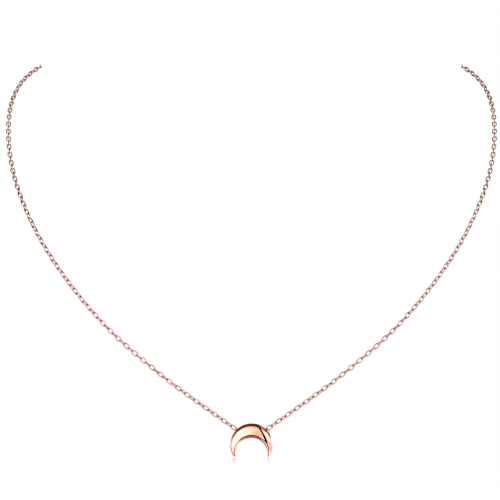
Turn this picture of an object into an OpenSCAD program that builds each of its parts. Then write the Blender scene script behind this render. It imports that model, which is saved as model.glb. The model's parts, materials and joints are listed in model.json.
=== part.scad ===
// Crescent pendant necklace: a fine cable chain worn in a loop, a puffed crescent at the front,
// and a lobster clasp with an extender at the nape. Millimetres, +Z up, front towards -Y.
// The origin is the middle of the neck opening, level with the clasp.

/* [Loop] */
// Widest distance between the two sides of the worn loop
loop_width = 130.4; // [128:0.2:134]
// Distance from the front of the loop to the nape
loop_depth = 92; // [90:0.5:94]
// How squared the loop is seen from above: 2 is an ellipse
loop_power = 2.2; // [2.1:0.05:2.4]

/* [Chain] */
// Thickness of the wire of a chain link
link_wire = 0.28; // [0.24:0.01:0.3]
// Width of a chain link
link_width = 1.32; // [1.26:0.01:1.4]
// Length of a chain link
link_length = 2.11; // [2.1:0.01:2.14]

/* [Crescent] */
// Radius of the outer edge of the crescent
crescent_r = 5.55; // [5.4:0.05:5.8]
// Radius of the inner edge of the crescent
crescent_bite_r = 4.15; // [4.05:0.05:4.2]
// How far the inner circle sits below the outer one
crescent_bite_drop = 2.35; // [2.25:0.05:2.45]
// How far the tips sit below the centre of the outer circle
crescent_tip_drop = 3.1; // [2.9:0.05:3.2]
// Thickness of the crescent at the middle of its band
crescent_thick = 1.9; // [1.4:0.1:2.2]

/* [Clasp] */
// Thickness of the body of the clasp
clasp_thick = 1.8; // [1.6:0.1:2]
// Thickness of the round hook of the clasp
hook_wire = 1; // [0.9:0.05:1.1]

/* [Extender] */
// Links in each of the three stretches of the extender
extender_count = 6; // [4:2:8]
// Diameter of the drop at the end of the extender
drop_d = 2.8; // [2:0.1:3.2]

/* [Hidden] */
$fn = 48;
GOLD = [0.87, 0.62, 0.52];
GOLD_DARK = [0.76, 0.5, 0.42];
STEEL = [0.7, 0.7, 0.72];
gap = 0.05;                       // air between two interlocked wires
seam_turn = 3;                    // degrees left open where a ring's ends meet

// Front and back stations: the loop's hinge points nearest the pendant and the clasp
station_x = 6.5;
station_y = loop_depth / 2 * pow(1 - pow(2 * station_x / loop_width, loop_power), 1 / loop_power);

// Heights of the chain at even steps of the loop's plan, from the front station to the back one
HEIGHTS = [-103.3, -91.4, -77.7, -60.6, -41.8, -24.5, -12.6, -5.8, -2.3, -0.6, 0];
// Places of the ten hinges along the same plan, alike seen from either end
HINGES = [0, 0.108, 0.224, 0.328, 0.44, 0.56, 0.672, 0.776, 0.892, 1];
// Links between one hinge and the next
LINKS = [15, 17, 17, 19, 18, 14, 12, 13, 12];

// The loop seen from above, at an angle from -90 (front) to 90 (nape)
function plan(a) = [
    loop_width / 2 * pow(cos(a), 2 / loop_power),
    loop_depth / 2 * sign(a) * pow(abs(sin(a)), 2 / loop_power)
];
plan_end = acos(pow(2 * station_x / loop_width, loop_power / 2));
PLAN_STEPS = 480;
PLAN_ANGLES = [for (i = [0 : PLAN_STEPS]) plan_end * (2 * i / PLAN_STEPS - 1)];

// Running totals of a list of lengths, starting at 0
function totals(steps) = [
    for (i = 0, sum = 0; i <= len(steps); sum = sum + (i < len(steps) ? steps[i] : 0), i = i + 1) sum
];

PLAN_RUN = totals([for (i = [1 : PLAN_STEPS]) norm(plan(PLAN_ANGLES[i]) - plan(PLAN_ANGLES[i - 1]))]);
PLAN_SHARE = [for (r = PLAN_RUN) r / PLAN_RUN[PLAN_STEPS]];

// A smooth curve through evenly spaced values, at f from 0 to 1
function through(k, f) =
    let (n = len(k) - 1, i = min(floor(f * n), n - 1), t = f * n - i,
         b = k[i], c = k[i + 1],
         a = i > 0 ? k[i - 1] : 2 * b - c,
         d = i < n - 1 ? k[i + 2] : 2 * c - b)
    b + t / 2 * (c - a + t * (2 * a - 5 * b + 4 * c - d + t * (3 * (b - c) + d - a)));

ROUTE = [for (i = [0 : PLAN_STEPS])
    let (p = plan(PLAN_ANGLES[i])) [p[0], p[1], through(HEIGHTS, PLAN_SHARE[i])]];
ROUTE_RUN = totals([for (i = [1 : PLAN_STEPS]) norm(ROUTE[i] - ROUTE[i - 1])]);
STEP_AT_SHARE = [for (i = [0 : PLAN_STEPS]) [PLAN_SHARE[i], ROUTE_RUN[i]]];
ROUTE_X = [for (i = [0 : PLAN_STEPS]) [ROUTE_RUN[i], ROUTE[i][0]]];
ROUTE_Y = [for (i = [0 : PLAN_STEPS]) [ROUTE_RUN[i], ROUTE[i][1]]];
ROUTE_Z = [for (i = [0 : PLAN_STEPS]) [ROUTE_RUN[i], ROUTE[i][2]]];
// The point of the right-hand chain at a length from its front station
function route(s) = [lookup(s, ROUTE_X), lookup(s, ROUTE_Y), lookup(s, ROUTE_Z)];
HINGE_RUN = [for (h = HINGES) lookup(h, STEP_AT_SHARE)];
LINKS_BEFORE = totals(LINKS);

// The chain is a little twisted by the pendant, and hardly at all higher up
front_twist = 28;
twist_fade = 12;                  // links over which the twist dies away
sway = 7;
sway_step = 13;                   // degrees of the slow sway from one link to the next
// How far link k is rolled about the chain's own line
function twist_at(k) = front_twist * exp(-max(k, 0) / twist_fade) + sway * sin(k * sway_step);

// The three lead links and the jump ring lie on one straight line that climbs from the pendant
lead_slope = 35;
lead_pitch = 1.49;
lead_count = 3;
front = [station_x, -station_y, HEIGHTS[0]];
lead_dir = [cos(lead_slope), 0, sin(lead_slope)];
jump_r = 0.6;
jump_wire = 0.3;
first_link = front - (lead_count - 0.5) * lead_pitch * lead_dir;
link_reach = (link_length - link_wire) / 2;
jump_at = first_link - (link_reach + jump_r - (link_wire + jump_wire) / 2 - gap) * lead_dir;

// Crescent: centre of its outer circle, and the plane of its back
crescent_z = -109;
stand_off = 1.05;                 // from the chain's middle plane to the crescent's back
crescent_y = -station_y - stand_off;
// where the tips are on the two circles, as angles above the level of each centre
tip_outer = asin(-crescent_tip_drop / crescent_r);
tip_inner = asin((crescent_bite_drop - crescent_tip_drop) / crescent_bite_r);
ARC_STEPS = 56;
RING_STEPS = 16;
tip_round = 0.02;                 // share of the arc over which each blunt tip closes
tip_crowding = 0.8;               // how far the sections crowd towards the tips
crest_shift = 0.3;                // how far the crest sits from the middle towards the inner edge, in half widths
rim_share = 0.14;                 // height of the sharp rim above the back, as a share of the thickness
thinning = 0.7;                   // power by which the thickness follows the width towards the tips
shoulder = 0.8;                   // below 1, the section is fuller than an ellipse across its width
crown = 0.85;                     // and through its front
back_crown = 0.6;                 // and through its back

// Eyelets: wire staples on the crescent's back that hold the jump rings
eyelet_wire = 0.3;
eyelet_r = 0.45;
eyelet_at = jump_at - (jump_r - (jump_wire + eyelet_wire) / 2 - gap + eyelet_r) * lead_dir;

// Clasp, in its own plane: x runs from its tail loop to its nose, y towards the lever's side
tail_r = 0.8;
tail_wire = 0.52;
eye = [6.4, 0];
eye_r = 2.05;
hook_tip_angle = 46;
hook_root_angle = -205;
pivot = [4.15, 1.3];
lever_reach = 3.6;
lever_thick = 0.9;
lever_band = 0.84;
slot = 1;
slot_floor = 0.45;                // y of the slot's floor
slot_play = 0.1;                  // room around the lever's hub in the slot
hub_r = 0.72;
hub_recess = 0.4;                 // depth of the recess for the spring in the hub
rivet_r = 0.32;
rivet_play = 0.04;
thumb_at = [0.55, 0.95];          // the lever's thumb knob, from its pivot
thumb_r = 0.42;
tip_play = 0.06;                  // between the lever's tip and the hook's
spring_r = 0.5;
spring_wire = 0.14;
spring_pitch = 0.16;
catch_in_eye = [7.6, -0.6];       // where the extender's ring passes through the hook
clasp_ring_r = 0.9;
clasp_ring_wire = 0.36;
clasp_ring_x = station_x + gap / 2 + clasp_ring_wire / 2 - clasp_ring_r;
clasp_x = clasp_ring_x - clasp_ring_r + clasp_ring_wire / 2 + gap - (tail_r - tail_wire / 2);
clasp_tilt = -atan(catch_in_eye[1] / catch_in_eye[0]);

// The ring that the clasp hooks into, tilted by the weight of the extender
catch_wire = 0.4;
catch_right = clasp_x - norm(catch_in_eye);
catch_left = -station_x - gap / 2 - catch_wire / 2;
catch_r = (catch_right - catch_left) / 2;
catch_x = (catch_right + catch_left) / 2;
catch_tilt = 40;

// Extender links hang from the lowest point of that ring
extender_wire = 0.4;
extender_width = 2.2;
extender_length = 3.2;
extender_pitch = extender_length - 2 * extender_wire - gap;
tail_y = station_y + catch_r * cos(catch_tilt);
extender_reach = (extender_length - extender_wire) / 2;
tail_top = -catch_r * sin(catch_tilt) + (catch_wire + extender_wire) / 2 + gap - extender_reach;
drop_eye_r = 0.6;
drop_eye_wire = 0.36;
drop_neck_r = 0.24;
drop_taper = 2.1;                 // from the drop's middle to the peak of its cone, in its radii
drop_z = tail_top - (3 * extender_count - 1) * extender_pitch - extender_reach
    + (extender_wire + drop_eye_wire) / 2 + gap - drop_eye_r;

// A round wire bent into a ring, in the XY plane, open by a hair where its ends meet
module wire_ring(r, wire, turn = 360, seam = 0) {
    rotate([0, 0, seam]) rotate_extrude(angle = turn) translate([r, 0]) circle(d = wire);
}

// One oval link in the XY plane, its length along X
module oval_link(length, width, wire) {
    bend_r = (width - wire) / 2;
    straight = length - width;
    for (side = [0, 180]) rotate([0, 0, side]) {
        translate([straight / 2, 0, 0]) rotate([0, 0, -90])
            rotate_extrude(angle = 180) translate([bend_r, 0]) circle(d = wire);
        translate([-straight / 2, bend_r, 0]) rotate([0, 90, 0]) cylinder(d = wire, h = straight);
    }
}

// Lays what is drawn along X between two points, rolled about its own length
module between(a, b, roll) {
    d = b - a;
    translate((a + b) / 2)
        rotate([roll, -atan2(d[2], norm([d[0], d[1]])), atan2(d[1], d[0])])
            children();
}

// Chain link k, between two joints; every other link stands across its neighbours
module chain_link(a, b, k) {
    between(a, b, twist_at(k) + (k % 2 == 0 ? 90 : 0)) oval_link(link_length, link_width, link_wire);
}

// One rigid stretch of the right-hand chain, from hinge n to hinge n + 1, counted from 1
module chain_stretch(n) {
    start = HINGE_RUN[n - 1];
    pitch = (HINGE_RUN[n] - start) / LINKS[n - 1];
    color((n % 2 == 1) ? GOLD : GOLD_DARK)
        for (k = [0 : LINKS[n - 1] - 1])
            chain_link(route(start + k * pitch), route(start + (k + 1) * pitch), LINKS_BEFORE[n - 1] + k);
}

module lead_links() {
    color(GOLD)
        for (k = [1 : lead_count])
            chain_link(front - k * lead_pitch * lead_dir, front - (k - 1) * lead_pitch * lead_dir, -k);
}

// Flat behind the crescent, in the plane of its back
module jump_ring() {
    color(GOLD_DARK)
        translate(jump_at) rotate([90, 0, 0]) wire_ring(jump_r, jump_wire, 360 - seam_turn, 200);
}

// A staple whose two legs are soldered to the crescent's back, in line with the chain
module eyelet() {
    color(GOLD_DARK)
        translate([eyelet_at[0], -station_y, eyelet_at[2]]) rotate([0, -lead_slope, 0]) {
            rotate_extrude(angle = 180) translate([eyelet_r, 0]) circle(d = eyelet_wire);
            for (side = [-1, 1])
                translate([side * eyelet_r, 0, 0]) rotate([90, 0, 0])
                    cylinder(d = eyelet_wire, h = stand_off - gap / 2);
        }
}

// Points of the crescent's section at f along the arc, from the right tip (0) over the top to the left (1)
function crescent_section(f) =
    let (a = tip_outer + f * (180 - 2 * tip_outer),
         b = tip_inner + f * (180 - 2 * tip_inner),
         outer = crescent_r * [cos(a), sin(a)],
         inner = crescent_bite_r * [cos(b), sin(b)] - [0, crescent_bite_drop],
         middle = (outer + inner) / 2,
         e = min(min(f, 1 - f) / tip_round, 1),
         close = sqrt(1 - pow(1 - e, 2)),
         half = (outer - inner) / 2 * close,
         share = norm(outer - inner) / (crescent_r - crescent_bite_r + crescent_bite_drop),
         thick = crescent_thick * pow(share, thinning) * close)
    [for (i = [0 : RING_STEPS - 1])
        let (t = 360 * i / RING_STEPS,
             across = sign(cos(t)) * pow(abs(cos(t)), shoulder),
             out = sin(t) > 0
                 ? (1 - rim_share) * pow(sin(t), crown)
                 : -rim_share * pow(-sin(t), back_crown),
             p = middle + (across - crest_shift * (1 - pow(across, 2))) * half)
        [p[0], -thick * (rim_share + out), p[1]]];

module crescent() {
    rings = [for (i = [1 : ARC_STEPS - 1])
        let (x = i / ARC_STEPS, eased = (1 - cos(180 * x)) / 2)
            crescent_section(x + tip_crowding * (eased - x))];
    tip = [for (f = [0, 1]) crescent_section(f)[0]];
    points = concat([tip[0]], [for (r = rings) for (p = r) p], [tip[1]]);
    last = len(points) - 1;
    n = RING_STEPS;
    color(GOLD)
        translate([0, crescent_y, crescent_z])
            polyhedron(points, concat(
                [for (k = [0 : n - 1]) [0, 1 + (k + 1) % n, 1 + k]],
                [for (j = [0 : len(rings) - 2]) for (k = [0 : n - 1])
                    [1 + j * n + k, 1 + j * n + (k + 1) % n,
                     1 + (j + 1) * n + (k + 1) % n, 1 + (j + 1) * n + k]],
                [for (k = [0 : n - 1]) [last, last - n + k, last - n + (k + 1) % n]]));
}

module clasp_ring() {
    color(GOLD_DARK)
        translate([clasp_ring_x, station_y, 0])
            wire_ring(clasp_ring_r, clasp_ring_wire, 360 - seam_turn, 80);
}

// Stands the clasp on the nape: tail loop to the right, lever upwards
module on_nape() {
    translate([clasp_x, station_y, 0]) rotate([0, clasp_tilt, 0]) rotate([90, 0, 180]) children();
}

// Outline of the clasp's body behind the hook
module shank_outline() {
    neck = [1.5, 0];
    neck_r = 0.62;
    belly = [3.7, 0.35];
    belly_r = 1.65;
    run = belly - neck;
    lean = atan2(run[1], run[0]);
    open = acos((neck_r - belly_r) / norm(run));
    translate(neck) circle(neck_r);
    translate(belly) circle(belly_r);
    polygon([
        for (corner = [[neck, neck_r, 1], [belly, belly_r, 1], [belly, belly_r, -1], [neck, neck_r, -1]])
            let (a = lean + corner[2] * open) corner[0] + corner[1] * [cos(a), sin(a)]
    ]);
}

module clasp_body() {
    color(GOLD) on_nape() difference() {
        union() {
            wire_ring(tail_r, tail_wire);
            translate([0, 0, -clasp_thick / 2]) linear_extrude(clasp_thick) shank_outline();
            translate([eye[0], eye[1], 0])
                wire_ring(eye_r, hook_wire, hook_tip_angle - hook_root_angle, hook_root_angle);
        }
        // the eye of the hook, cleared of the shank
        translate([eye[0], eye[1], -clasp_thick])
            cylinder(r = eye_r - hook_wire / 2, h = 2 * clasp_thick);
        // the slot that the lever turns in
        translate([0, 0, -slot / 2]) linear_extrude(slot) {
            translate(pivot) circle(hub_r + slot_play);
            translate([pivot[0], slot_floor]) square(3);
        }
        // room for the lever's tip, which is round about the pivot
        intersection() {
            translate([pivot[0], pivot[1], -clasp_thick])
                cylinder(r = lever_reach + tip_play, h = 2 * clasp_thick);
            translate([eye[0], slot_floor, -clasp_thick]) cube([4, 4, 2 * clasp_thick]);
        }
        translate([pivot[0], pivot[1], -clasp_thick]) cylinder(r = rivet_r, h = 2 * clasp_thick);
        translate([0, 0, -clasp_thick]) cylinder(r = tail_r - tail_wire / 2, h = 2 * clasp_thick);
    }
}

module clasp_lever() {
    color(GOLD_DARK) on_nape()
        translate([0, 0, -lever_thick / 2]) difference() {
            linear_extrude(lever_thick) {
                intersection() {
                    difference() {
                        translate(eye) circle(eye_r + lever_band / 2);
                        translate(eye) circle(eye_r - lever_band / 2);
                    }
                    translate(pivot) circle(lever_reach);
                    translate([pivot[0], pivot[1] - 0.1]) square([4, 3]);
                }
                translate(pivot) circle(hub_r);
                translate(pivot + thumb_at) circle(thumb_r);
            }
            // bore for the rivet, and the recess for the spring
            translate([pivot[0], pivot[1], -1]) cylinder(r = rivet_r + rivet_play, h = 3);
            translate([pivot[0], pivot[1], lever_thick - hub_recess]) cylinder(r = hub_r, h = 1);
        }
}

module clasp_rivet() {
    color(GOLD_DARK) on_nape()
        translate([pivot[0], pivot[1], -clasp_thick / 2]) cylinder(r = rivet_r - 0.005, h = clasp_thick);
}

// The lever's spring: two turns of wire around the rivet, in the recess of the lever's hub
module clasp_spring() {
    color(STEEL) on_nape()
        for (turn = [0, 1])
            translate([pivot[0], pivot[1],
                       lever_thick / 2 - hub_recess + spring_wire + turn * spring_pitch])
                wire_ring(spring_r, spring_wire);
}

module catch_ring() {
    color(GOLD)
        translate([catch_x, station_y, 0]) rotate([-catch_tilt, 0, 0])
            wire_ring(catch_r, catch_wire, 360 - seam_turn, 220);
}

// One of the three stretches of the extender, which hangs straight down
module extender_stretch(n) {
    color((n % 2 == 1) ? GOLD : GOLD_DARK)
        for (k = [(n - 1) * extender_count : n * extender_count - 1])
            translate([catch_x, tail_y, tail_top - k * extender_pitch])
                rotate([0, 90, (k % 2 == 0) ? 0 : 90])
                    oval_link(extender_length, extender_width, extender_wire);
}

// A plain teardrop, turned on a lathe, with its eye cast on
module extender_drop() {
    r = drop_d / 2;
    top = r * drop_taper;
    foot = asin(r / top);
    color(GOLD)
        translate([catch_x, tail_y, drop_z]) {
            rotate([0, 90, 0]) wire_ring(drop_eye_r, drop_eye_wire);
            translate([0, 0, -drop_eye_r - top + drop_neck_r / 2]) {
                sphere(r);
                translate([0, 0, r * sin(foot)])
                    cylinder(r1 = r * cos(foot), r2 = drop_neck_r,
                             h = top - r * sin(foot) - drop_neck_r / 2);
            }
        }
}

module left() {
    mirror([1, 0, 0]) children();
}

crescent();
left() eyelet();  // left_eyelet
eyelet();  // right_eyelet
left() jump_ring();  // left_jump_ring
jump_ring();  // right_jump_ring
left() lead_links();  // left_lead_links
lead_links();  // right_lead_links
left() chain_stretch(1);  // left_chain_1
left() chain_stretch(2);  // left_chain_2
left() chain_stretch(3);  // left_chain_3
left() chain_stretch(4);  // left_chain_4
left() chain_stretch(5);  // left_chain_5
left() chain_stretch(6);  // left_chain_6
left() chain_stretch(7);  // left_chain_7
left() chain_stretch(8);  // left_chain_8
left() chain_stretch(9);  // left_chain_9
chain_stretch(1);  // right_chain_1
chain_stretch(2);  // right_chain_2
chain_stretch(3);  // right_chain_3
chain_stretch(4);  // right_chain_4
chain_stretch(5);  // right_chain_5
chain_stretch(6);  // right_chain_6
chain_stretch(7);  // right_chain_7
chain_stretch(8);  // right_chain_8
chain_stretch(9);  // right_chain_9
clasp_ring();
clasp_body();
clasp_lever();
clasp_rivet();
clasp_spring();
catch_ring();
extender_stretch(1);  // extender_links_1
extender_stretch(2);  // extender_links_2
extender_stretch(3);  // extender_links_3
extender_drop();
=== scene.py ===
# %% [markdown]
# # A crescent pendant necklace
# A fine cable chain hangs in a wide V, with a small puffed crescent at its lowest point. Behind the
# neck are a lobster clasp, a ring for it to catch and a short extender with a drop at its end.
# Nearly everything is polished rose gold, so most of the work is in two things: how each wire and
# casting is rounded, and what a mirror finish has around it to reflect.
#
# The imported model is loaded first. It fixes the size and the place of every piece, so each new mesh
# is measured from it instead of being placed by eye.

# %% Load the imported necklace
import json
import math

import bmesh
import bpy
import numpy as np
from mathutils import Matrix, Vector


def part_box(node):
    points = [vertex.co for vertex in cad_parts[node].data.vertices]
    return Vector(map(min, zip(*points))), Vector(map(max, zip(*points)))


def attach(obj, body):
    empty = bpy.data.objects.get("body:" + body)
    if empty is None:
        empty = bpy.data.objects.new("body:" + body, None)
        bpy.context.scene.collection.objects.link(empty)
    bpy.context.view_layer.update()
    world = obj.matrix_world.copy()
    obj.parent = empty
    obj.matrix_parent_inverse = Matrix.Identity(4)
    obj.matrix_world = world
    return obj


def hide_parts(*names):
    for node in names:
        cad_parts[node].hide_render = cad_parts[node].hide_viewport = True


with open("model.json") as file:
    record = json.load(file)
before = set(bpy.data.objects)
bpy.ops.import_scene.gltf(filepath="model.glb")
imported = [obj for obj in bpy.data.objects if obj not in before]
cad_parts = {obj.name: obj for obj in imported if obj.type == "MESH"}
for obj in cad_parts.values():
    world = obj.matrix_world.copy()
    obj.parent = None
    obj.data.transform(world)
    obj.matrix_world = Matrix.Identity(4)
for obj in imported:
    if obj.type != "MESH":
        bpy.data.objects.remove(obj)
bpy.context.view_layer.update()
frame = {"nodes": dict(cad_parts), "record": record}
MM = 0.001
BODIES = frame["record"]["behaviour"]["bodies"]
BODY_OF = {node: body for body, nodes in BODIES.items() for node in nodes}

# %% [markdown]
# ## The camera
# The camera stands far away and has a long lens, so that the back of the loop looks hardly
# smaller than the front. It is level with the middle of the V. Its far clipping
# plane stands where the chain passes out of sight behind a neck, because the neck itself is
# left out.

# %% Camera
crescent_low, crescent_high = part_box("crescent")
LENS_DISTANCE = 1.5
VIEW_WIDTH = 0.130
SENSOR = 36.0
CAMERA_ACROSS = -0.4 * MM
CRESCENT_BELOW_CENTRE = 50.7 * MM
NECK_LINE = 24.1 * MM

crescent_r = (crescent_high.x - crescent_low.x) / 2
crescent_centre = Vector((0, crescent_high.y, crescent_high.z - crescent_r))
camera_data = bpy.data.cameras.new("camera")
camera_data.sensor_width = SENSOR
camera_data.lens = SENSOR * LENS_DISTANCE / VIEW_WIDTH
camera_data.clip_end = LENS_DISTANCE + NECK_LINE - crescent_low.y
camera = bpy.data.objects.new("camera", camera_data)
camera.location = (
    CAMERA_ACROSS,
    crescent_low.y - LENS_DISTANCE,
    crescent_centre.z + CRESCENT_BELOW_CENTRE,
)
camera.rotation_euler = (math.radians(90), 0, 0)
bpy.context.scene.collection.objects.link(camera)
bpy.context.scene.camera = camera
bpy.context.scene.view_settings.view_transform = "Standard"
print("lens in mm:", round(camera_data.lens), "crescent radius in mm:", round(crescent_r / MM, 2))

# %% [markdown]
# ## Node trees as Python
# Materials, lights and geometry are all node trees here. Wiring them by hand takes many lines, so
# one method makes every node: it takes the node's type, the values or wires of its sockets and its
# settings. A wire can be used in sums, and each sum adds its own Math node.

# %% A small language for nodes
class Wire:
    """The output of a node. Sums of wires and numbers add Math nodes."""

    def __init__(self, graph, socket):
        self.graph = graph
        self.socket = socket

    def maths(self, operation, *others):
        return self.graph.wire("ShaderNodeMath", [self, *others], operation=operation)

    def __add__(self, other):
        return self.maths("ADD", other)

    __radd__ = __add__

    def __sub__(self, other):
        return self.maths("SUBTRACT", other)

    def __rsub__(self, other):
        return self.graph.wire("ShaderNodeMath", [other, self], operation="SUBTRACT")

    def __mul__(self, other):
        return self.maths("MULTIPLY", other)

    __rmul__ = __mul__

    def __truediv__(self, other):
        return self.maths("DIVIDE", other)

    def __pow__(self, other):
        return self.maths("POWER", other)

    def __abs__(self):
        return self.maths("ABSOLUTE")


class Graph:
    """A node tree in which one method makes every node."""

    def __init__(self, tree):
        self.tree = tree

    def node(self, kind, values=(), **settings):
        made = self.tree.nodes.new(kind)
        stops = settings.pop("stops", ())
        for name, setting in settings.items():
            setattr(made, name, setting)
        for i, (place, colour) in enumerate(stops):
            ramp = made.color_ramp.elements
            stop = ramp[i] if i < 2 else ramp.new(place)
            stop.position = place
            stop.color = (*colour, 1)
        pairs = values.items() if isinstance(values, dict) else enumerate(values)
        for key, value in pairs:
            if isinstance(value, Wire):
                self.tree.links.new(value.socket, made.inputs[key])
            elif value is not None:
                made.inputs[key].default_value = value
        return made

    def wire(self, kind, values=(), out=0, **settings):
        return Wire(self, self.node(kind, values, **settings).outputs[out])

    def ramp(self, factor, stops):
        return self.wire("ShaderNodeValToRGB", [factor], stops=stops)

    def mix(self, factor, a, b):
        return self.wire("ShaderNodeMix", {0: factor, 6: a, 7: b}, out=2, data_type="RGBA")

    def smooth(self, value, low, high):
        ends = {0: value, 1: low, 2: high}
        return self.wire("ShaderNodeMapRange", ends, interpolation_type="SMOOTHSTEP")


def material_graph(name):
    """A new material's graph, emptied but for its output."""
    material = bpy.data.materials.new(name)
    material.use_nodes = True
    material.node_tree.nodes.clear()
    return material, Graph(material.node_tree)


print("ready to wire nodes")

# %% [markdown]
# ## The studio
# A mirror finish shows the room and hardly anything of its own. Round this pendant stand white,
# cream and peach cards, a rosy one high on the right, dark brown walls farther up and to the left,
# and a clay table below. Overhead a narrow gap between two cards is left black. The world is
# painted with them by direction. Each direction is first turned into the slope of the metal that
# would reflect it towards the front, because that is how a jeweller places cards: by where they
# land on the piece. A background seen directly is plain white.

# %% Card colours
WHITE_CARD = (0.95, 0.97, 1.08)
CREAM_CARD = (0.8, 0.8, 0.84)
PEACH_CARD = (0.64, 0.62, 0.6)
DEEP_PEACH = (0.54, 0.49, 0.46)
PINK_CARD = (0.42, 0.48, 0.55)
ROSE_CARD = (0.13, 0.042, 0.055)
BROWN = (0.05, 0.016, 0.009)
BLACK = (0.001, 0.0004, 0.0004)
CLAY = (0.2, 0.1, 0.06)
BLUSH = (0.25, 0.14, 0.15)
print("colours of the darkest and lightest card:", BLACK, WHITE_CARD)

# %% Where each card lands on the metal
# Colours in turn round the piece, by the direction in which the metal slopes: 0 is right, 0.25 up
NEAR_CARDS = [
    (0.0, PINK_CARD), (0.05, PINK_CARD), (0.08, WHITE_CARD), (0.165, WHITE_CARD),
    (0.178, DEEP_PEACH), (0.22, PEACH_CARD), (0.27, CREAM_CARD), (0.34, WHITE_CARD),
    (0.48, WHITE_CARD), (0.55, PEACH_CARD), (0.62, PINK_CARD), (0.66, CLAY),
    (0.8, CLAY), (0.86, BLUSH), (0.9, WHITE_CARD), (0.97, PINK_CARD),
]
FAR_CARDS = [
    (0.0, PINK_CARD), (0.055, WHITE_CARD), (0.08, PINK_CARD), (0.1, ROSE_CARD), (0.15, ROSE_CARD),
    (0.175, BLUSH), (0.2, BROWN), (0.36, BROWN),
    (0.41, CLAY), (0.47, PINK_CARD), (0.52, BLUSH), (0.56, BROWN), (0.66, BROWN),
    (0.7, CLAY), (0.8, CLAY), (0.86, PINK_CARD), (0.95, PINK_CARD),
]

# The slopes at which the near cards give way to the far ones, and the height at which all meet
FAR_FROM = 0.48
FAR_TO = 0.8
MEETING_POINT = -0.18

# Small round cards near the middle: how far across and up they land, their radius and colour
SMALL_CARDS = [(0.13, 0.0, 0.12, DEEP_PEACH), (0.03, -0.26, 0.11, BROWN)]
SOFT_FROM = 0.6
SOFT_TO = 1.2

# The dark gap between two cards overhead
GAP_ACROSS = 0.24
GAP_BOTTOM = 0.68
GAP_HALF_WIDTH = 0.04
GAP_EDGE = 0.03
print("cards:", len(NEAR_CARDS) + len(FAR_CARDS) + len(SMALL_CARDS))

# %% Paint the world
ROOM_STRENGTH = 2.4
world = bpy.data.worlds.new("studio")
bpy.context.scene.world = world
world.use_nodes = True
world.node_tree.nodes.clear()
room = Graph(world.node_tree)
direction = room.wire("ShaderNodeTexCoord")

# Metal that slopes half way between a direction and the camera shows one to the other
between = room.wire("ShaderNodeVectorMath", [direction, (0, 1, 0)], operation="SUBTRACT")
slope = room.wire("ShaderNodeVectorMath", [between], operation="NORMALIZE")
parts = room.node("ShaderNodeSeparateXYZ", [slope])
across = Wire(room, parts.outputs[0])
up = Wire(room, parts.outputs[2]) - MEETING_POINT
turn = up.maths("ARCTAN2", across) / math.tau
turn = turn.maths("WRAP", 1, 0)
steepness = (across * across + up * up) ** 0.5
far = room.smooth(steepness, FAR_FROM, FAR_TO)
cards = room.mix(far, room.ramp(turn, NEAR_CARDS), room.ramp(turn, FAR_CARDS))
height = Wire(room, parts.outputs[2])
for spot_across, spot_height, spot_radius, colour in SMALL_CARDS:
    reach = ((across - spot_across) ** 2 + (height - spot_height) ** 2) ** 0.5 / spot_radius
    cards = room.mix(1 - room.smooth(reach, SOFT_FROM, SOFT_TO), cards, (*colour, 1))
gap = 1 - room.smooth(abs(across - GAP_ACROSS), GAP_HALF_WIDTH, GAP_HALF_WIDTH + GAP_EDGE)
gap = gap * room.smooth(height, GAP_BOTTOM - GAP_EDGE, GAP_BOTTOM)
cards = room.mix(gap, cards, (*BLACK, 1))
seen = room.wire("ShaderNodeLightPath")
lit = room.wire("ShaderNodeBackground", [cards, ROOM_STRENGTH])
plain = room.wire("ShaderNodeBackground", [(1, 1, 1, 1), 1.0])
room.node("ShaderNodeOutputWorld", [room.wire("ShaderNodeMixShader", [seen, lit, plain])])
print("nodes in the world:", len(world.node_tree.nodes))

# %% [markdown]
# ## Floor, cards and lamps
# The tips of the crescent just clear a pale glossy floor, which mirrors them and fades within a few
# millimetres. A low white card far behind keeps the mirrored background white. In front of the
# crescent hangs a narrow black flag: jewellers place one so that a dark line follows the form, which
# tells the eye that the metal is polished and where it turns. The line depends on the flag's
# distance as well as its direction, so it can't be painted on the world.

# %% A helper for flat studio pieces
UPRIGHT = (math.radians(90), 0, 0)


def glow(name, colour, strength):
    """A finish that shows one colour in any light."""
    material, graph = material_graph(name)
    light = graph.wire("ShaderNodeEmission", [(*colour, 1), strength])
    graph.node("ShaderNodeOutputMaterial", [light])
    return material


def studio_card(name, centre, size, turn=(0, 0, 0)):
    """A flat square or rectangle that belongs to the studio."""
    mesh = bpy.data.meshes.new(name)
    half_w, half_h = size[0] / 2, size[1] / 2
    corners = [(-half_w, -half_h, 0), (half_w, -half_h, 0), (half_w, half_h, 0), (-half_w, half_h, 0)]
    mesh.from_pydata(corners, [], [(0, 1, 2, 3)])
    card = bpy.data.objects.new(name, mesh)
    card.location = centre
    card.rotation_euler = turn
    bpy.context.scene.collection.objects.link(card)
    return card


print("ready to place cards")

# %% Glossy floor
FLOOR_GAP = 0.15 * MM
FLOOR_SIZE = 40.0
FLOOR_COLOUR = (1, 0.995, 0.99)
FLOOR_STRENGTH = 1.01
FLOOR_ROUGHNESS = 0.04
FLOOR_IOR = 1.12
FLOOR_GLOSS = 0.6

# The gloss fades in front of the crescent, sooner behind it, and to its sides
FADE_AHEAD = 70 * MM
FADE_BEHIND = FADE_AHEAD / 4
FADE_FROM = 1.5 * crescent_r
FADE_TO = 3 * crescent_r

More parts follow.
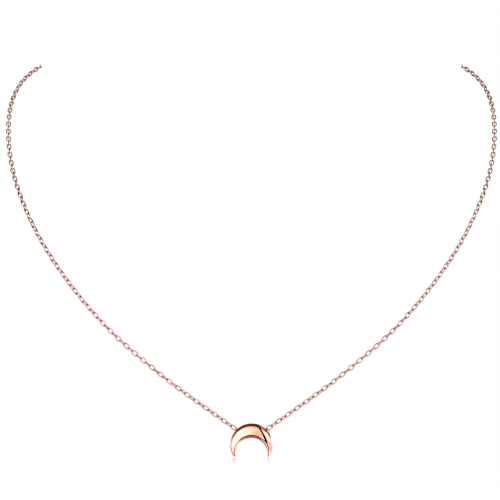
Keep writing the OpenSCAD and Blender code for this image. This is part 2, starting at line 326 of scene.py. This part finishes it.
floor = studio_card("floor", (0, 0, crescent_low.z - FLOOR_GAP), (FLOOR_SIZE, FLOOR_SIZE))
paint, graph = material_graph("pale_gloss_floor")
pale = graph.wire("ShaderNodeEmission", [(*FLOOR_COLOUR, 1), FLOOR_STRENGTH])
gloss = graph.wire(
    "ShaderNodeBsdfAnisotropic", {"Color": (1, 1, 1, 1), "Roughness": FLOOR_ROUGHNESS}
)
spot = graph.node("ShaderNodeSeparateXYZ", [graph.wire("ShaderNodeTexCoord", out=3)])
depth = Wire(graph, spot.outputs[1])
near = graph.smooth(depth, crescent_low.y - FADE_AHEAD, crescent_low.y)
near = near * (1 - graph.smooth(depth, crescent_high.y, crescent_high.y + FADE_BEHIND))
near = near * (1 - graph.smooth(abs(Wire(graph, spot.outputs[0])), FADE_FROM, FADE_TO))
grazing = graph.wire("ShaderNodeFresnel", {"IOR": FLOOR_IOR}) * near * FLOOR_GLOSS
graph.node("ShaderNodeOutputMaterial", [graph.wire("ShaderNodeMixShader", [grazing, pale, gloss])])
floor.data.materials.append(paint)
floor.visible_glossy = False
floor.visible_diffuse = False
print("floor at mm:", round(floor.location.z / MM, 2))

# %% A low white card far behind, which the camera doesn't see
BACK_CARD_PLACE = (0, 0.6, crescent_low.z + 22 * MM)
BACK_CARD_SIZE = (0.5, 0.06)
BACK_CARD_STRENGTH = 1.02
card = studio_card("white_card", BACK_CARD_PLACE, BACK_CARD_SIZE, UPRIGHT)
card.data.materials.append(glow("white_card", (1, 1, 1), BACK_CARD_STRENGTH))
card.visible_camera = False
print("card behind, in m:", BACK_CARD_SIZE)

# %% A narrow black flag in front of the crescent, seen only in its polish
FLAG_AHEAD = 6 * MM
FLAG_COLOUR = (0.0005, 0.0002, 0.0002)

# The flag's middle across and up from the crescent's centre, and its half width, all in mm
FLAG_PATH = [(4.95, -1.0, 0.95), (4.95, 6.0, 0.85), (5.4, 9.5, 1.1), (15.5, 38.0, 3.5)]
flag_mesh = bpy.data.meshes.new("black_flag")
flag_centre = crescent_centre + Vector((0, -FLAG_AHEAD, 0))
flag_points = []
for flag_across, flag_up, half in FLAG_PATH:
    for side in (-1, 1):
        flag_points.append(tuple(flag_centre + Vector((flag_across + side * half, 0, flag_up)) * MM))
flag_faces = [(i, i + 1, i + 3, i + 2) for i in range(0, len(flag_points) - 2, 2)]
flag_mesh.from_pydata(flag_points, [], flag_faces)
flag = bpy.data.objects.new("black_flag", flag_mesh)
bpy.context.scene.collection.objects.link(flag)
flag_mesh.materials.append(glow("black_flag", FLAG_COLOUR, 1.0))
flag.visible_camera = False
flag.visible_shadow = False
flag.visible_diffuse = False
print("faces of the flag:", len(flag_faces))


# %% Two soft lamps
def lamp(name, place, size, power):
    """A soft lamp aimed at the middle of the V."""
    data = bpy.data.lights.new(name, "AREA")
    data.shape = "DISK"
    data.size = size
    data.energy = power
    made = bpy.data.objects.new(name, data)
    made.location = place
    aim = Vector((0, 0, camera.location.z)) - Vector(place)
    made.rotation_euler = aim.to_track_quat("-Z", "Y").to_euler()
    bpy.context.scene.collection.objects.link(made)


# Each lamp's place in m, its width in m and its power in W
LAMPS = {"soft_left": ((-0.9, -1.1, 0.6), 0.35, 3.0), "soft_right": ((1.1, -0.7, 0.5), 0.3, 2.0)}
for name, (place, size, power) in LAMPS.items():
    lamp(name, place, size, power)
print("lamps:", list(LAMPS))

# %% [markdown]
# ## Rose gold
# Rose gold is gold with copper in it, here as a thin plate over a base metal. All its pieces share
# one recipe, because a maker plates them in one bath, and differ in how they were finished. The
# crescent and the drop are polished to a mirror, with a faint ripple from the polishing wheel. The
# chain was drawn and soldered, so it is a little duller and each link has its own tint. Its colour
# is also set about a third darker than that of the other pieces. The clasp was tumbled with ceramic
# chips, which leave tiny soft dents.

# %% A recipe for plated rose gold
# Sizes of the patterns, as cells to a metre
CLOUD_SCALE = 900.0
GRAIN_SCALE = 9000.0
DENT_SCALE = 2600.0
DENT_EDGE = 0.5
GRAIN_HEIGHT = 0.15

# Where the plate is thinner it is redder: how much of each colour is left there, and how strongly
THIN_PLATE = (0.93, 0.84, 0.8)
THIN_SHARE = 0.6
TARNISH = (0.38, 0.18, 0.15)


def gold(name, tone, roughness, grain, ripple, dents=0.0, tint=0.0):
    """A plated finish: grain is the spread of its roughness, ripple its bump in mm."""
    material, graph = material_graph(name)
    place = graph.wire("ShaderNodeTexCoord", out=3)
    cloud = graph.wire(
        "ShaderNodeTexNoise", {"Vector": place, "Scale": CLOUD_SCALE, "Detail": 3.0}
    )
    fine = graph.wire("ShaderNodeTexNoise", {"Vector": place, "Scale": GRAIN_SCALE, "Detail": 2.0})
    mottle = graph.smooth(cloud, 0.3, 0.7)
    deep = tuple(c * left for c, left in zip(tone, THIN_PLATE))
    colour = graph.mix(mottle * THIN_SHARE, (*tone, 1), (*deep, 1))
    if tint:
        link = graph.wire("ShaderNodeAttribute", out=2, attribute_name="link_tint")
        colour = graph.mix(link * tint, colour, (*TARNISH, 1))
    height = graph.smooth(cloud, 0.2, 0.8) + fine * GRAIN_HEIGHT
    if dents:
        cells = graph.wire("ShaderNodeTexVoronoi", {"Vector": place, "Scale": DENT_SCALE})
        height = height + (1 - graph.smooth(cells, 0.0, DENT_EDGE)) * dents
    bump = graph.wire("ShaderNodeBump", {"Strength": 1.0, "Distance": ripple * MM, "Height": height})
    shader = graph.wire(
        "ShaderNodeBsdfPrincipled",
        {
            "Base Color": colour,
            "Metallic": 1.0,
            "Roughness": fine * grain + (roughness - grain / 2),
            "Normal": bump,
        },
    )
    graph.node("ShaderNodeOutputMaterial", [shader])
    return material


print("recipe ready")

# %% Four finishes of rose gold
POLISHED = (0.86, 0.48, 0.36)
# The chain's colour is set about a third darker than the other finishes
DARKER_WIRE_TONE = (0.59, 0.32, 0.26)
BRIGHT = (0.85, 0.48, 0.37)
TUMBLED = (0.84, 0.47, 0.36)
MIRROR_GOLD = gold("rose_gold_mirror", POLISHED, roughness=0.045, grain=0.03, ripple=0.0012)
CHAIN_GOLD = gold(
    "rose_gold_drawn_wire", DARKER_WIRE_TONE, roughness=0.16, grain=0.1, ripple=0.003, tint=0.55
)
RING_GOLD = gold("rose_gold_ring_wire", BRIGHT, roughness=0.12, grain=0.08, ripple=0.003)
CLASP_GOLD = gold(
    "rose_gold_tumbled", TUMBLED, roughness=0.16, grain=0.08, ripple=0.004, dents=0.5
)
print("finishes:", [m.name for m in (MIRROR_GOLD, CHAIN_GOLD, RING_GOLD, CLASP_GOLD)])

# %% Spring steel
DARK_STEEL = (0.42, 0.42, 0.44)
PALE_STEEL = (0.62, 0.61, 0.6)
STREAK_SCALE = 7000.0
STREAK_HEIGHT = 0.002 * MM
SPRING_STEEL, graph = material_graph("drawn_spring_steel")
place = graph.wire("ShaderNodeTexCoord", out=3)
streaks = graph.wire("ShaderNodeTexNoise", {"Vector": place, "Scale": STREAK_SCALE, "Detail": 4.0})
shade = graph.mix(streaks, (*DARK_STEEL, 1), (*PALE_STEEL, 1))
bump = graph.wire("ShaderNodeBump", {"Strength": 0.6, "Distance": STREAK_HEIGHT, "Height": streaks})
steel = graph.wire(
    "ShaderNodeBsdfPrincipled",
    {"Base Color": shade, "Metallic": 1.0, "Roughness": streaks * 0.2 + 0.2, "Normal": bump},
)
graph.node("ShaderNodeOutputMaterial", [steel])
print("spring steel ready")

# %% [markdown]
# ## From a tree to a piece
# Geometry Nodes make whatever repeats or follows a rule. Each tree is put on a small host object as
# a modifier, its sizes are typed into its named inputs, and the result is kept as a plain mesh that
# rides on one body of the necklace.

# %% A helper for finished pieces
def finish_piece(name, mesh, body, material, replaced=()):
    """Shows a mesh as a piece: outward faces, smooth shading, one finish, riding on its body."""
    work = bmesh.new()
    work.from_mesh(mesh)
    bmesh.ops.recalc_face_normals(work, faces=work.faces)
    work.to_mesh(mesh)
    work.free()
    mesh.shade_smooth()
    mesh.materials.clear()
    mesh.materials.append(material)
    piece = bpy.data.objects.new(name, mesh)
    bpy.context.scene.collection.objects.link(piece)
    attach(piece, body)
    if replaced:
        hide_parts(*replaced)
    return piece


print("ready to finish pieces")


# %% Helpers for geometry trees
def grow(host_mesh, tree, sizes):
    """The mesh that a geometry tree makes from a host mesh, with its named inputs set."""
    host = bpy.data.objects.new("host", host_mesh)
    bpy.context.scene.collection.objects.link(host)
    modifier = host.modifiers.new("grow", "NODES")
    modifier.node_group = tree
    for item in tree.interface.items_tree:
        if item.item_type == "SOCKET" and item.in_out == "INPUT" and item.name in sizes:
            modifier[item.identifier] = sizes[item.name]
    depsgraph = bpy.context.evaluated_depsgraph_get()
    mesh = bpy.data.meshes.new_from_object(host.evaluated_get(depsgraph), depsgraph=depsgraph)
    bpy.data.objects.remove(host)
    return mesh


def geometry_graph(name, sizes):
    """An empty geometry tree with one float input for each name in sizes."""
    tree = bpy.data.node_groups.new(name, "GeometryNodeTree")
    tree.interface.new_socket("Geometry", in_out="INPUT", socket_type="NodeSocketGeometry")
    tree.interface.new_socket("Geometry", in_out="OUTPUT", socket_type="NodeSocketGeometry")
    for size in sizes:
        tree.interface.new_socket(size, in_out="INPUT", socket_type="NodeSocketFloat")
    graph = Graph(tree)
    start = graph.node("NodeGroupInput")
    named = {socket.name: Wire(graph, socket) for socket in start.outputs if socket.name}
    return tree, graph, named


print("ready to grow trees")

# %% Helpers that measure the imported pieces
WELD = 1e-7


def loose_solids(node):
    """The separate closed solids of a CAD node, each as an array of points."""
    work = bmesh.new()
    work.from_mesh(frame["nodes"][node].data)
    bmesh.ops.remove_doubles(work, verts=work.verts, dist=WELD)
    todo = set(work.verts)
    found = []
    while todo:
        island = []
        edge = [todo.pop()]
        while edge:
            vert = edge.pop()
            island.append(tuple(vert.co))
            near = {e.other_vert(vert) for e in vert.link_edges} & todo
            todo -= near
            edge.extend(near)
        found.append(sorted(island))
    work.free()

    # Sorted, because a set hands its vertices over in another order each run
    return [np.array(island) for island in sorted(found)]


def lie_of(points):
    """Centre, longest axis and flattest axis of a ring or link, from its own points."""
    centre = (points.min(0) + points.max(0)) / 2
    _, axes = np.linalg.eigh(np.cov((points - points.mean(0)).T))
    return centre, axes[:, 2], axes[:, 0]


print("ready to measure")

# %% [markdown]
# ## The chain
# A cable chain is made of identical oval links, each standing across its neighbours. Modelling one
# link and copying it by hand would take hours and every copy would have to be placed. Here the tree
# bends one link from a circle, pulled longer along its middle, and copies it to points. The points
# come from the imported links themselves, each with the directions of its length and of its flat side,
# so the shown chain lies where the solid one does. A link that is repeated hundreds of times must be
# cheap: twelve bends with six faces round the wire look smooth at this size. Links next to the
# hardware, where joints turn, get more of both, so that they stay clear of what they hang in.

# %% A tree that threads links on points
LINK_SIZES = ["Length", "Width", "Wire", "Bends", "Sides", "Swell"]
tree, graph, given = geometry_graph("cable_links", LINK_SIZES)
PULL_SHARPNESS = 3
half_width = (given["Width"] - given["Wire"]) / 2
stretch = (given["Length"] - given["Width"]) / 2
loop = graph.wire(
    "GeometryNodeCurvePrimitiveCircle", {"Resolution": given["Bends"], "Radius": half_width}
)
spot = graph.node("ShaderNodeSeparateXYZ", [graph.wire("GeometryNodeInputPosition")])
side = Wire(graph, spot.outputs[0])
push = (side / half_width * PULL_SHARPNESS).maths("MINIMUM", 1).maths("MAXIMUM", -1) * stretch
pulled = graph.wire(
    "GeometryNodeSetPosition",
    {"Geometry": loop, "Offset": graph.wire("ShaderNodeCombineXYZ", [push])},
)
round_wire = graph.wire(
    "GeometryNodeCurvePrimitiveCircle",
    {"Resolution": given["Sides"], "Radius": given["Wire"] / 2 * given["Swell"]},
)
link = graph.wire("GeometryNodeCurveToMesh", [pulled, round_wire])
print("nodes that bend one link:", len(tree.nodes))

# %% Copy the link to every point, each with its own tint
TINT_SEED = 7
long_axis, flat_axis = (
    graph.wire("GeometryNodeInputNamedAttribute", {"Name": axis}, data_type="FLOAT_VECTOR")
    for axis in ("long_axis", "flat_axis")
)
rotation = graph.wire(
    "FunctionNodeAxesToRotation", [long_axis, flat_axis], primary_axis="X", secondary_axis="Z"
)
threaded = graph.wire(
    "GeometryNodeInstanceOnPoints",
    {"Points": given["Geometry"], "Instance": link, "Rotation": rotation},
)
chance = graph.node("FunctionNodeRandomValue", {"Seed": TINT_SEED}, data_type="FLOAT")
tinted = graph.wire(
    "GeometryNodeStoreNamedAttribute",
    {"Geometry": threaded, "Name": "link_tint", "Value": Wire(graph, chance.outputs[1])},
    data_type="FLOAT",
    domain="INSTANCE",
)
whole = graph.wire("GeometryNodeRealizeInstances", {"Geometry": tinted})
dressed = graph.wire("GeometryNodeSetMaterial", {"Geometry": whole, "Material": CHAIN_GOLD})
graph.node("NodeGroupOutput", [dressed])
CABLE_LINKS = tree
print("nodes in the tree:", len(tree.nodes))

# %% Chain and extender, one piece for each body
def thread_links(name, nodes, sizes, rounding):
    """Oval links in place of every solid link in these nodes."""
    lies = [lie_of(points) for node in nodes for points in loose_solids(node)]
    seeds = bpy.data.meshes.new(name)
    seeds.from_pydata([tuple(lie[0]) for lie in lies], [], [])
    for label, part in (("long_axis", 1), ("flat_axis", 2)):
        layer = seeds.attributes.new(label, "FLOAT_VECTOR", "POINT")
        layer.data.foreach_set("vector", np.array([lie[part] for lie in lies], np.float32).ravel())
    mesh = grow(seeds, CABLE_LINKS, sizes | rounding)
    mesh.name = name
    finish_piece(name, mesh, BODY_OF[nodes[0]], CHAIN_GOLD, nodes)
    return len(lies)


print("ready to thread links")

# %% Links of the loop
LINK = {"Length": 2.11 * MM, "Width": 1.32 * MM, "Wire": 0.28 * MM}

# Wire with six faces is swollen a little, so that it looks no thinner than round wire, and fine
# wire is thinned a little, so that it clears its ring
PLAIN_LINK = {"Bends": 12, "Sides": 6, "Swell": 1.06}
FINE_LINK = {"Bends": 28, "Sides": 12, "Swell": 0.95}
SIDE_BODIES = 5
count = thread_links("lead_links", ["left_lead_links", "right_lead_links"], LINK, FINE_LINK)
for side in ("left", "right"):
    for n in range(1, SIDE_BODIES + 1):
        body = f"{side}_side_{n}"
        nodes = [node for node in BODY_OF if BODY_OF[node] == body]
        rounding = FINE_LINK if n == SIDE_BODIES else PLAIN_LINK
        count += thread_links(f"{side}_cable_{n}", nodes, LINK, rounding)
print("links in the loop:", count)

# %% Links of the extender
EXTENDER_LINK = {"Length": 3.2 * MM, "Width": 2.2 * MM, "Wire": 0.4 * MM}
count = 0
for n in (1, 2, 3):
    count += thread_links(f"extender_{n}", [f"extender_links_{n}"], EXTENDER_LINK, FINE_LINK)
print("links in the extender:", count)

# %% [markdown]
# ## The crescent
# The pendant is a flat-backed casting: its outline is a circle with a second, lower circle bitten
# out of it, and its front is puffed up between the two edges. It could be sculpted, but a rule
# gives a truer polish, because a mirror finish shows every lump. The rule is a closed section,
# flat at the back and crowned at the front, that travels along the arc, and narrows and thins until
# it closes at each tip. The tree lays a grid of points, works out where each point goes and joins
# the grid's edges.

# %% The crescent's sizes
BITE_R = crescent_r * 0.7477
BITE_DROP = crescent_r * 0.4234
TIP_DROP = crescent_r * 0.5586
THICKNESS = crescent_high.y - crescent_low.y
ARC_STEPS = 180
SECTION_STEPS = 56
TIP_ROUND = 0.02
TIP_CROWDING = 0.8
CREST_SHIFT = 0.3
RIM_SHARE = 0.14

# Powers that shape the section: below 1 they fill its corners
EDGE_FULLNESS = 0.8
CROWN_FULLNESS = 0.85
BACK_FULLNESS = 0.6
TIP_THINNING = 0.7
SEAM_GAP = 1e-6
outer_start = math.asin(-TIP_DROP / crescent_r)
inner_start = math.asin((BITE_DROP - TIP_DROP) / BITE_R)
print("radius of the bite in mm:", round(BITE_R / MM, 2))

# %% Lay a grid along and around the crescent
CRESCENT_SIZES = ["Radius", "Bite Radius", "Bite Drop", "Thickness"]
tree, graph, given = geometry_graph("puffed_crescent", CRESCENT_SIZES)
grid = graph.wire(
    "GeometryNodeMeshGrid",
    {"Size X": 1.0, "Size Y": 1.0, "Vertices X": ARC_STEPS + 1, "Vertices Y": SECTION_STEPS + 1},
)
spot = graph.node("ShaderNodeSeparateXYZ", [graph.wire("GeometryNodeInputPosition")])
along = Wire(graph, spot.outputs[0]) + 0.5
eased = (1 - (along * math.pi).maths("COSINE")) / 2
along = along + (eased - along) * TIP_CROWDING
around = (Wire(graph, spot.outputs[1]) + 0.5) * math.tau


def arc_point(radius, start, drop=None):
    """x and height of a point along one of the two circles."""
    angle = along * (math.pi - 2 * start) + start
    height = radius * angle.maths("SINE")
    return radius * angle.maths("COSINE"), height if drop is None else height - drop


print("points in the grid:", (ARC_STEPS + 1) * (SECTION_STEPS + 1))

# %% Puff the grid up into the crescent
outer = arc_point(given["Radius"], outer_start)
inner = arc_point(given["Bite Radius"], inner_start, given["Bite Drop"])
closing = (along.maths("MINIMUM", 1 - along) / TIP_ROUND).maths("MINIMUM", 1)
closing = (1 - (1 - closing) * (1 - closing)) ** 0.5
half_x, half_z = ((o - i) / 2 for o, i in zip(outer, inner))
middle_x, middle_z = ((o + i) / 2 for o, i in zip(outer, inner))
width = (half_x * half_x + half_z * half_z) ** 0.5 * 2
fullest = given["Radius"] - given["Bite Radius"] + given["Bite Drop"]
thick = given["Thickness"] * (width / fullest) ** TIP_THINNING * closing
cosine = around.maths("COSINE")
sine = around.maths("SINE")
across = cosine.maths("SIGN") * abs(cosine) ** EDGE_FULLNESS
across = (across - (1 - across * across) * CREST_SHIFT) * closing
crown = sine.maths("MAXIMUM", 0) ** CROWN_FULLNESS * (1 - RIM_SHARE)
back = (sine * -1).maths("MAXIMUM", 0) ** BACK_FULLNESS * RIM_SHARE
place = graph.wire(
    "ShaderNodeCombineXYZ",
    [middle_x + half_x * across, thick * (back - crown - RIM_SHARE), middle_z + half_z * across],
)
laid = graph.wire("GeometryNodeSetPosition", {"Geometry": grid, "Position": place})
joined = graph.wire("GeometryNodeMergeByDistance", {"Geometry": laid, "Distance": SEAM_GAP})
dressed = graph.wire("GeometryNodeSetMaterial", {"Geometry": joined, "Material": MIRROR_GOLD})
graph.node("NodeGroupOutput", [graph.wire("GeometryNodeRealizeInstances", [dressed])])
print("nodes in the crescent's tree:", len(tree.nodes))

# %% The crescent
mesh = grow(
    bpy.data.meshes.new("crescent"),
    tree,
    {"Radius": crescent_r, "Bite Radius": BITE_R, "Bite Drop": BITE_DROP, "Thickness": THICKNESS},
)
mesh.transform(Matrix.Translation(crescent_centre))
finish_piece(
    "crescent_casting", mesh, BODY_OF["crescent"], MIRROR_GOLD, ["crescent"]
)
print("crescent faces:", len(mesh.polygons))

# %% [markdown]
# ## Bent wire
# Jump rings, the catch ring, the staples on the crescent's back and the spring are all one thing:
# round wire that follows a path. A ring is never quite closed, because its ends only meet when the
# pliers push them together, so each ring is bent with a hair of a gap and flat cut ends. One tree
# turns a path into wire, and each piece brings only its path.

# %% A tree for bent wire
WIRE_FACES = 12
tree, graph, given = geometry_graph("bent_wire", ["Wire"])
path = graph.wire("GeometryNodeMeshToCurve", {"Mesh": given["Geometry"]})
round_wire = graph.wire(
    "GeometryNodeCurvePrimitiveCircle", {"Resolution": WIRE_FACES, "Radius": given["Wire"] / 2}
)
solid = graph.wire(
    "GeometryNodeCurveToMesh", {"Curve": path, "Profile Curve": round_wire, "Fill Caps": True}
)
dressed = graph.wire("GeometryNodeSetMaterial", {"Geometry": solid, "Material": RING_GOLD})
graph.node("NodeGroupOutput", [graph.wire("GeometryNodeRealizeInstances", [dressed])])
BENT_WIRE = tree
print("nodes in the wire's tree:", len(tree.nodes))


# %% Wire along a path
def bend_wire(name, path, wire, node, material=RING_GOLD):
    """Round wire along a path of points, in place of a CAD node."""
    host = bpy.data.meshes.new(name)
    host.from_pydata([tuple(p) for p in path], [(i, i + 1) for i in range(len(path) - 1)], [])
    mesh = grow(host, BENT_WIRE, {"Wire": wire})
    mesh.name = name
    return finish_piece(name, mesh, BODY_OF[node], material, [node])


print("ready to bend wire")

# %% An almost closed ring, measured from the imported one
SEAM = math.radians(3)
RING_BENDS = 56

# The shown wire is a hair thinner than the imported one, so that it clears what it holds
RING_PLAY = 0.97


def bend_ring(name, node, seam_towards):
    """A ring in place of a CAD ring, with its seam on one side."""
    points = loose_solids(node)[0]
    centre, _, normal = lie_of(points)
    first = np.array(seam_towards, float)
    first -= normal * (first @ normal)
    first /= np.linalg.norm(first)
    second = np.cross(normal, first)

    # The circle that fits best gives the true centre, because the seam shifts the middle of the box
    from_centre = points - centre
    flat = np.stack([from_centre @ first, from_centre @ second, np.ones(len(points))], 1)
    fit = np.linalg.lstsq(flat, (flat[:, :2] ** 2).sum(1), rcond=None)[0] / 2
    centre = centre + fit[0] * first + fit[1] * second
    reach = np.linalg.norm(points - centre, axis=1)
    radius = (reach.max() + reach.min()) / 2
    wire = (reach.max() - reach.min()) * RING_PLAY
    angles = np.linspace(SEAM / 2, math.tau - SEAM / 2, RING_BENDS)
    path = [centre + radius * (math.cos(a) * first + math.sin(a) * second) for a in angles]
    bend_wire(name, path, wire, node)
    return round(radius / MM, 2)


print("ready to bend rings")

# %% Rings
# Each ring's CAD node and the side on which its seam sits
RINGS = {
    "left_ring": ("left_jump_ring", (1, 0, 2)),
    "right_ring": ("right_jump_ring", (-1, 0, 2)),
    "clasp_end_ring": ("clasp_ring", (0.3, 1, 0)),
    "catch_end_ring": ("catch_ring", (-1, 0.5, 1)),
}
for name, (node, seam_towards) in RINGS.items():
    print(name, "radius in mm:", bend_ring(name, node, seam_towards))

# %% [markdown]
# ## Staples on the crescent's back
# The crescent hangs from two small staples soldered to its back, out of sight from the front. Each
# is a half circle of wire on two straight legs, and stands in line with its chain. It is the same
# bent wire as a ring, so only its path is new.

# %% Staples
STAPLE_WIRE = 0.3 * MM
STAPLE_R = 0.45 * MM
STAPLE_LEAN = math.radians(35)
STAPLE_BENDS = 17


def staple(side):
    """A staple whose legs reach the crescent's back, measured from its CAD node."""
    node = f"{side}_eyelet"
    low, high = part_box(node)
    lean = STAPLE_LEAN * (1 if side == "right" else -1)
    line = np.array([math.cos(lean), 0, math.sin(lean)])
    crown = np.array([0, 1, 0])
    top = high.y - STAPLE_WIRE / 2 - STAPLE_R
    middle = np.array([(low.x + high.x) / 2, top, (low.z + high.z) / 2])
    angles = np.linspace(0, math.pi, STAPLE_BENDS)
    bow = [middle + STAPLE_R * (math.cos(a) * line + math.sin(a) * crown) for a in angles]
    foot = np.array([0, low.y - middle[1], 0])
    bend_wire(f"{side}_staple", [bow[0] + foot, *bow, bow[-1] + foot], STAPLE_WIRE, node)


staple("left")
staple("right")
print("staples soldered")

# %% [markdown]
# ## Cast pieces
# The clasp's body, its lever and the drop are small castings, tumbled until no edge is sharp. The
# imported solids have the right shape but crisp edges. A voxel remesh of a copy turns each into an
# even skin, and a few rounds of smoothing melt its edges, as tumbling does. The copy is made in
# millimetres, because the remesh can't take voxels as small as these in metres.

# %% A helper for castings
TUMBLE_STRENGTH = 0.5


def cast(name, node, slot, material, voxel, rounds):
    """A softened copy of a CAD node: voxel is in mm, rounds is how often it is smoothed."""
    work = bmesh.new()
    work.from_mesh(frame["nodes"][node].data)
    bmesh.ops.remove_doubles(work, verts=work.verts, dist=WELD)
    mesh = bpy.data.meshes.new(name)
    work.to_mesh(mesh)
    work.free()
    mesh.transform(Matrix.Scale(1 / MM, 4))
    blank = bpy.data.objects.new("blank", mesh)
    bpy.context.scene.collection.objects.link(blank)
    remesh = blank.modifiers.new("skin", "REMESH")
    remesh.mode = "VOXEL"
    remesh.voxel_size = voxel
    tumble = blank.modifiers.new("tumble", "SMOOTH")
    tumble.factor = TUMBLE_STRENGTH
    tumble.iterations = rounds
    depsgraph = bpy.context.evaluated_depsgraph_get()
    skin = bpy.data.meshes.new_from_object(blank.evaluated_get(depsgraph), depsgraph=depsgraph)
    bpy.data.objects.remove(blank)
    skin.transform(Matrix.Scale(MM, 4))
    skin.name = name
    finish_piece(name, skin, BODY_OF[node], material, [node])
    return len(skin.polygons)


print("ready to cast")

# %% Castings
# Each casting's CAD node, slot, finish, voxel in mm and rounds of smoothing
CASTINGS = {
    "clasp_casting": ("clasp_body", "clasp_gold", CLASP_GOLD, 0.06, 4),
    "lever_casting": ("clasp_lever", "clasp_gold", CLASP_GOLD, 0.045, 3),
    "drop_casting": ("extender_drop", "drop_gold", MIRROR_GOLD, 0.06, 5),
}
for name, recipe in CASTINGS.items():
    print(name, "faces:", cast(name, *recipe))

# %% [markdown]
# ## Rivet and spring
# The lever turns on a rivet whose two ends are hammered into low domes. Its outline is turned about
# its own axis, as on a lathe. The spring is two and a half turns of steel wire round the rivet, and
# is bent wire once more. Its legs are hidden inside the clasp and left out.

# %% A helper for turned pieces
TURNING_STEPS = 40


def turned(profile, axis_point, steps=TURNING_STEPS):
    """A solid turned about the Y axis through a point; profile is (radius, y) from end to end."""
    work = bmesh.new()
    rows = []
    for radius, y in profile:
        angles = [math.tau * i / steps for i in range(steps if radius > 0 else 1)]
        row = []
        for a in angles:
            x = axis_point[0] + radius * math.cos(a)
            z = axis_point[2] + radius * math.sin(a)
            row.append(work.verts.new((x, y, z)))
        rows.append(row)
    for row, after in zip(rows, rows[1:]):
        for i in range(steps):
            corners = [row[i % len(row)], row[(i + 1) % len(row)]]
            corners += [after[(i + 1) % len(after)], after[i % len(after)]]
            work.faces.new(dict.fromkeys(corners))
    mesh = bpy.data.meshes.new("turned")
    work.to_mesh(mesh)
    work.free()
    return mesh


print("ready to turn")

# %% The hammered rivet
DOME = 0.12 * MM
DOME_STEPS = 7
rivet_low, rivet_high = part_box("clasp_rivet")
rivet_centre = (rivet_low + rivet_high) / 2
rivet_r = (rivet_high.x - rivet_low.x) / 2
angles = np.linspace(math.pi / 2, 0, DOME_STEPS)
rim = [(rivet_r * math.cos(a), DOME * math.sin(a)) for a in angles[1:]]
near_end = [(0, rivet_low.y - DOME)] + [(r, rivet_low.y - rise) for r, rise in rim]
far_end = [(r, rivet_high.y + rise) for r, rise in reversed(rim)] + [(0, rivet_high.y + DOME)]
mesh = turned(near_end + far_end, rivet_centre)
finish_piece(
    "hammered_rivet", mesh, BODY_OF["clasp_rivet"], CLASP_GOLD, ["clasp_rivet"]
)
print("rivet radius in mm:", round(rivet_r / MM, 3))

# %% The lever's spring
SPRING_WIRE = 0.14 * MM
TURNS = 2.5
STEPS_A_TURN = 24
spring_low, spring_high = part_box("clasp_spring")
spring_r = (spring_high.x - spring_low.x - SPRING_WIRE) / 2
coil_start = spring_low.y + SPRING_WIRE / 2
coil_length = spring_high.y - spring_low.y - SPRING_WIRE
coil_steps = int(TURNS * STEPS_A_TURN)
coil = []
for i in range(coil_steps + 1):
    angle = math.tau * i / STEPS_A_TURN
    x = rivet_centre.x + spring_r * math.cos(angle)
    z = rivet_centre.z + spring_r * math.sin(angle)
    coil.append((x, coil_start + i / coil_steps * coil_length, z))
bend_wire("lever_spring", coil, SPRING_WIRE, "clasp_spring", SPRING_STEEL)
print("turns in the spring:", TURNS)
